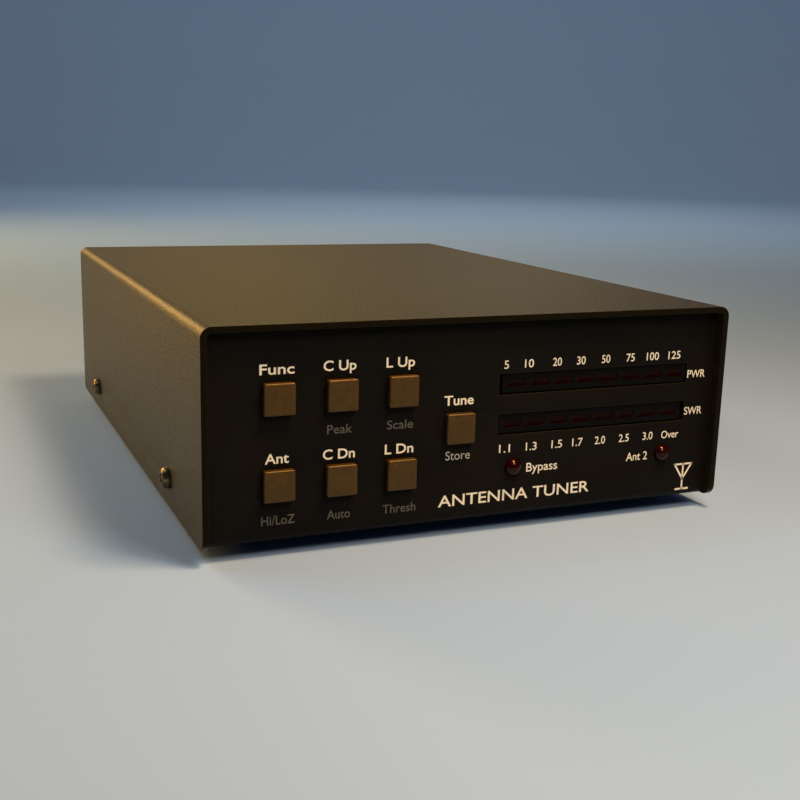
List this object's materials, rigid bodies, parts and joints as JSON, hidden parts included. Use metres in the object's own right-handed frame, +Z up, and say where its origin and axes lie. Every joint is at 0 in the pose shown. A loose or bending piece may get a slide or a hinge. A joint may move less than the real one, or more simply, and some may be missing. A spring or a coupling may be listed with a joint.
{
  "type": "antenna tuner",
  "caption": "Low rectangular sheet-metal box with a recessed keyed and lit front panel and threaded radio sockets, an earth stud and jacks behind.",
  "frame": {"origin": "on the table, under the middle of the whole tuner with its rear sockets", "axes": "+X to the right seen from the front, +Y to the rear along the longest side, +Z up"},
  "size_m": [0.1544, 0.215, 0.0592],
  "materials": {
    "cover_paint": "fine-textured powder coat, charcoal black",
    "panel_paint": "satin black paint",
    "screw_zinc": "zinc plated, yellowish",
    "foot_rubber": "matt black",
    "circuit_board": "green solder mask",
    "standoff_nickel": "nickel plated",
    "display_housing": "black",
    "display_red": "dark red, unlit",
    "lamp_red": "dark red tinted dome, unlit",
    "key_grey": "warm grey moulded plastic",
    "plunger_black": "black moulded plastic",
    "switch_black": "black moulded plastic",
    "socket_nickel": "bright nickel plate",
    "insulator_white": "off-white insulator",
    "contact_silver": "silver plate",
    "lead_copper": "tinned copper wire",
    "ground_steel": "nickel plated steel",
    "jack_black": "black moulded plastic",
    "core_red": "red painted powdered iron",
    "core_grey": "bare ferrite",
    "enamelled_wire": "enamelled copper",
    "relay_case": "blue moulded case",
    "mica_dip": "brown dipped coat",
    "chip_black": "black moulded package with tinned legs",
    "crystal_can": "bare metal can",
    "capacitor_sleeve": "dark blue sleeve",
    "lead_grey": "grey ribbon and connectors"
  },
  "bodies": {
    "case": {"base_pan": "panel_paint", "cover": "cover_paint", "cover_screws": "screw_zinc", "rubber_feet": "foot_rubber", "switch_bodies": "switch_black", "power_bar_housing": "display_housing", "power_bar_segments": "display_red", "swr_bar_housing": "display_housing", "swr_bar_segments": "display_red", "bypass_led": "lamp_red", "antenna_led": "lamp_red", "display_board": "circuit_board", "display_standoffs": "standoff_nickel", "main_board": "circuit_board", "board_standoffs": "standoff_nickel", "board_screws": "screw_zinc", "transceiver_socket": "socket_nickel", "antenna_1_socket": "socket_nickel", "antenna_2_socket": "socket_nickel", "socket_insulators": "insulator_white", "socket_contacts": "contact_silver", "socket_screws": "screw_zinc", "socket_nuts": "screw_zinc", "socket_leads": "lead_copper", "ground_stud": "ground_steel", "ground_hex_nut": "ground_steel", "dc_jack": "jack_black", "dc_jack_pin": "socket_nickel", "radio_jack": "jack_black", "radio_jack_nut": "socket_nickel", "inductor_cores": "core_red", "inductor_windings": "enamelled_wire", "coupler_cores": "core_grey", "coupler_windings": "enamelled_wire", "inductor_relays": "relay_case", "capacitor_relays": "relay_case", "antenna_relays": "relay_case", "mica_capacitors": "mica_dip", "microcontroller": "chip_black", "driver_chips": "chip_black", "crystal": "crystal_can", "voltage_regulator": "chip_black", "filter_capacitors": "capacitor_sleeve", "display_lead": "lead_grey"},
    "func_key": {"func_button": "key_grey", "func_plunger": "plunger_black"},
    "c_up_key": {"c_up_button": "key_grey", "c_up_plunger": "plunger_black"},
    "l_up_key": {"l_up_button": "key_grey", "l_up_plunger": "plunger_black"},
    "tune_key": {"tune_button": "key_grey", "tune_plunger": "plunger_black"},
    "ant_key": {"ant_button": "key_grey", "ant_plunger": "plunger_black"},
    "c_down_key": {"c_down_button": "key_grey", "c_down_plunger": "plunger_black"},
    "l_down_key": {"l_down_button": "key_grey", "l_down_plunger": "plunger_black"},
    "ground_washer_travel": {"ground_washer": "ground_steel"},
    "wing_nut": {"ground_wing_nut": "ground_steel"}
  },
  "joints": [
    {"name": "func_press", "type": "slide", "parent": "case", "child": "func_key", "axis": [0, 1, 0], "range_m": [0, 0.0003], "stiffness_N_per_m": 4000},
    {"name": "c_up_press", "type": "slide", "parent": "case", "child": "c_up_key", "axis": [0, 1, 0], "range_m": [0, 0.0003], "stiffness_N_per_m": 4000},
    {"name": "l_up_press", "type": "slide", "parent": "case", "child": "l_up_key", "axis": [0, 1, 0], "range_m": [0, 0.0003], "stiffness_N_per_m": 4000},
    {"name": "tune_press", "type": "slide", "parent": "case", "child": "tune_key", "axis": [0, 1, 0], "range_m": [0, 0.0003], "stiffness_N_per_m": 4000},
    {"name": "ant_press", "type": "slide", "parent": "case", "child": "ant_key", "axis": [0, 1, 0], "range_m": [0, 0.0003], "stiffness_N_per_m": 4000},
    {"name": "c_down_press", "type": "slide", "parent": "case", "child": "c_down_key", "axis": [0, 1, 0], "range_m": [0, 0.0003], "stiffness_N_per_m": 4000},
    {"name": "l_down_press", "type": "slide", "parent": "case", "child": "l_down_key", "axis": [0, 1, 0], "range_m": [0, 0.0003], "stiffness_N_per_m": 4000},
    {"name": "wing_nut_travel", "type": "slide", "parent": "case", "child": "ground_washer_travel", "axis": [0, 1, 0], "range_m": [0, 0.0021]},
    {"name": "wing_nut_turn", "type": "hinge", "parent": "ground_washer_travel", "child": "wing_nut", "pos_m": [0.031, 0.09274, 0.03], "axis": [0, 1, 0], "range_deg": [0, 1083]}
  ],
  "couplings": [
    {"joint": "wing_nut_turn", "follows": "wing_nut_travel", "rad_per_m": 8976}
  ]
}
